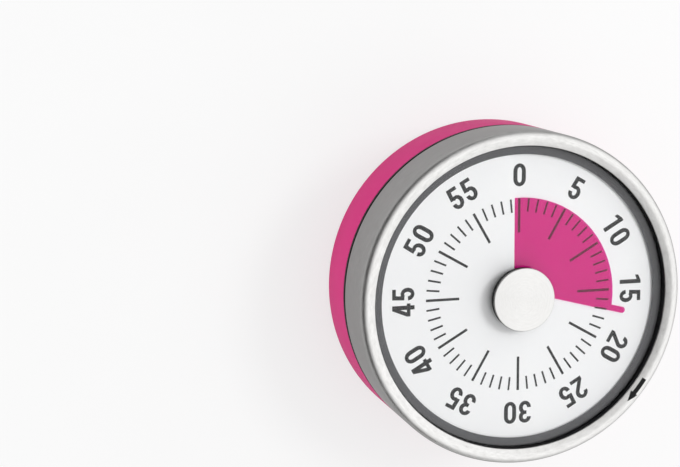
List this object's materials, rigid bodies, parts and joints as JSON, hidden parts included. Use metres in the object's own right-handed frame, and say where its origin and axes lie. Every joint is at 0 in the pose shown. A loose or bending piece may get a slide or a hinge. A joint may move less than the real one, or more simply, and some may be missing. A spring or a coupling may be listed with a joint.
{
  "type": "visual timer",
  "caption": "Round wind-up visual timer: steel setting ring on a coloured base, white minute dial and a colour disc that shrinks as time runs off, with a geared movement and a bell inside.",
  "frame": {"origin": "centre of the back face, on the axis of the dial", "axes": "+Z out of the dial, +Y towards 0 minutes, +X towards 15 minutes"},
  "size_m": [0.08, 0.08, 0.0303],
  "materials": {
    "base_pink": "satin moulded plastic",
    "disc_pink": "translucent film",
    "casing_steel": "brushed stainless steel",
    "lens_clear": "clear acrylic",
    "dial_white": "matte white sheet with dark print",
    "ring_grey": "matte dark grey plastic",
    "black_plastic": "black plastic",
    "brass": "stamped brass",
    "polished_steel": "turned steel",
    "screw_steel": "zinc plated steel",
    "spring_steel": "blued spring steel",
    "magnet_nickel": "nickel plated magnet"
  },
  "bodies": {
    "base": {"base_cover": "base_pink", "magnets": "magnet_nickel", "bell": "polished_steel", "bell_screw": "screw_steel", "rear_plate": "brass", "front_plate": "brass", "plate_pillars": "screw_steel", "pillar_screws": "screw_steel", "plate_screws": "screw_steel", "rear_bush": "brass", "front_bush": "brass", "dial_carrier": "ring_grey", "carrier_screws": "screw_steel", "dial_ring": "ring_grey", "dial": "dial_white", "spring_stud": "screw_steel", "mainspring": "spring_steel", "hairspring": "spring_steel", "hairspring_stud": "brass", "hammer_spring": "spring_steel"},
    "setting_ring": {"casing": "casing_steel", "lens": "lens_clear", "lens_retainer": "black_plastic", "knob_core": "black_plastic", "knob_cap": "casing_steel", "knob_screw": "screw_steel", "main_arbor": "polished_steel", "main_wheel": "brass", "clutch_spring": "spring_steel", "clutch_collar": "screw_steel", "strike_cam": "brass"},
    "disc": {"disc_hub": "black_plastic", "colour_disc": "disc_pink"},
    "second_arbor": {"second_wheel": "brass", "second_pinion": "polished_steel"},
    "third_arbor": {"third_wheel": "brass", "third_pinion": "polished_steel"},
    "escape_arbor": {"escape_wheel": "brass", "escape_pinion": "polished_steel"},
    "pallet": {"pallet_lever": "brass", "pallet_arbor": "polished_steel", "pallet_pins": "polished_steel"},
    "balance": {"balance_wheel": "brass", "balance_staff": "polished_steel"},
    "hammer": {"hammer_lever": "screw_steel", "hammer_tail": "screw_steel", "hammer_arbor": "polished_steel", "hammer_head": "polished_steel"}
  },
  "joints": [
    {"name": "ring_turn", "type": "hinge", "parent": "base", "child": "setting_ring", "pos_m": [0, 0, 0], "axis": [0, 0, -1], "range_deg": [-105, 255], "deforming": ["mainspring"]},
    {"name": "disc_feed", "type": "slide", "parent": "setting_ring", "child": "disc", "axis": [0, 0, 1], "range_m": [-0.00021, 0.00051]},
    {"name": "second_turn", "type": "hinge", "parent": "base", "child": "second_arbor", "pos_m": [-0.01516, -0.00875, 0], "axis": [0, 0, -1], "range_deg": [-1540, 640]},
    {"name": "third_turn", "type": "hinge", "parent": "base", "child": "third_arbor", "pos_m": [-0.0106, -0.01985, 0], "axis": [0, 0, -1], "range_deg": [-3160, 7690]},
    {"name": "escape_turn", "type": "hinge", "parent": "base", "child": "escape_arbor", "pos_m": [0.00111, -0.02247, 0], "axis": [0, 0, -1], "range_deg": [-38500, 15800]},
    {"name": "pallet_rock", "type": "hinge", "parent": "base", "child": "pallet", "pos_m": [0.0084, -0.0215, 0], "axis": [0, 0, 1], "range_deg": [-4, 4]},
    {"name": "balance_swing", "type": "hinge", "parent": "base", "child": "balance", "pos_m": [0.01752, -0.01649, 0], "axis": [0, 0, 1], "range_deg": [-110, 110], "stiffness_Nm_per_rad": 0.00001, "deforming": ["hairspring"]},
    {"name": "hammer_swing", "type": "hinge", "parent": "base", "child": "hammer", "pos_m": [0.01, 0.01732, 0], "axis": [0, 0, -1], "range_deg": [-1, 9], "stiffness_Nm_per_rad": 0.002, "deforming": ["hammer_spring"]}
  ],
  "couplings": [
    {"joint": "disc_feed", "follows": "ring_turn", "m_per_rad": 0.00011141},
    {"joint": "second_turn", "follows": "ring_turn", "ratio": -6},
    {"joint": "third_turn", "follows": "ring_turn", "ratio": 30},
    {"joint": "escape_turn", "follows": "ring_turn", "ratio": -150}
  ]
}
